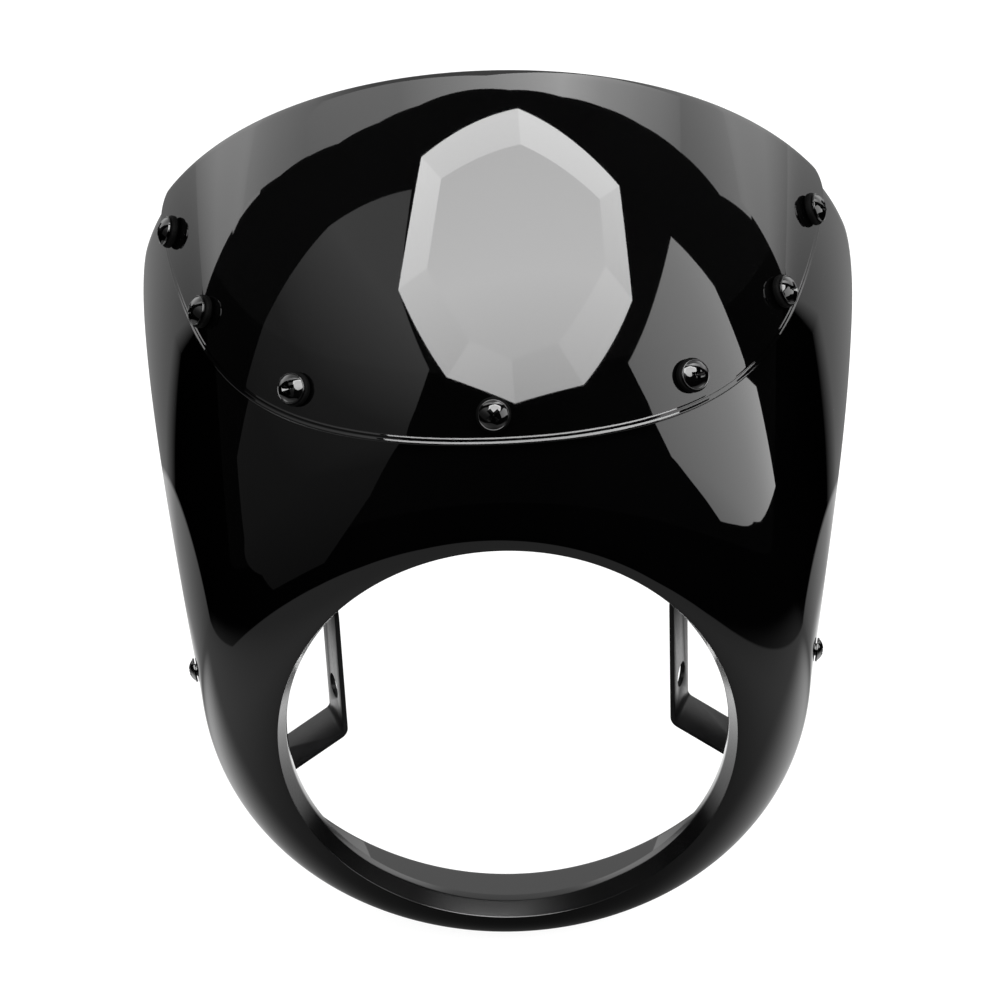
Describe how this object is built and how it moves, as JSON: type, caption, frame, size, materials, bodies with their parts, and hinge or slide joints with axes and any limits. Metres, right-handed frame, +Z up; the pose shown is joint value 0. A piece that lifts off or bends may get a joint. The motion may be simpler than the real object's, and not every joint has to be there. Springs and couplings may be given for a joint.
{
  "type": "headlight cowl",
  "caption": "Round-nosed headlight cowl with a smoked windscreen screwed over its top edge and strap brackets inside that hold it in front of a motorbike's fork.",
  "frame": {"origin": "centre of the round land inside the lamp opening", "axes": "-Y out of the opening, the way the lamp shines; +Z up; +X to the right when facing the lamp"},
  "size_m": [0.3032, 0.2028, 0.35],
  "materials": {
    "gloss_black_shell": "high-gloss black moulding",
    "smoked_screen": "polished dark smoke acrylic",
    "black_screw": "semi-gloss black coated steel",
    "black_rubber": "matt black rubber",
    "zinc_nut": "bright zinc plate",
    "black_strap": "satin black powder coat"
  },
  "bodies": {
    "root": {"fairing_shell": "gloss_black_shell", "windscreen": "smoked_screen", "windscreen_screws": "black_screw", "screw_washers": "black_rubber", "windscreen_nuts": "zinc_nut", "left_bracket": "black_strap", "right_bracket": "black_strap", "bracket_bolts": "black_screw", "bracket_washers": "zinc_nut", "bracket_nuts": "zinc_nut"}
  },
  "joints": []
}
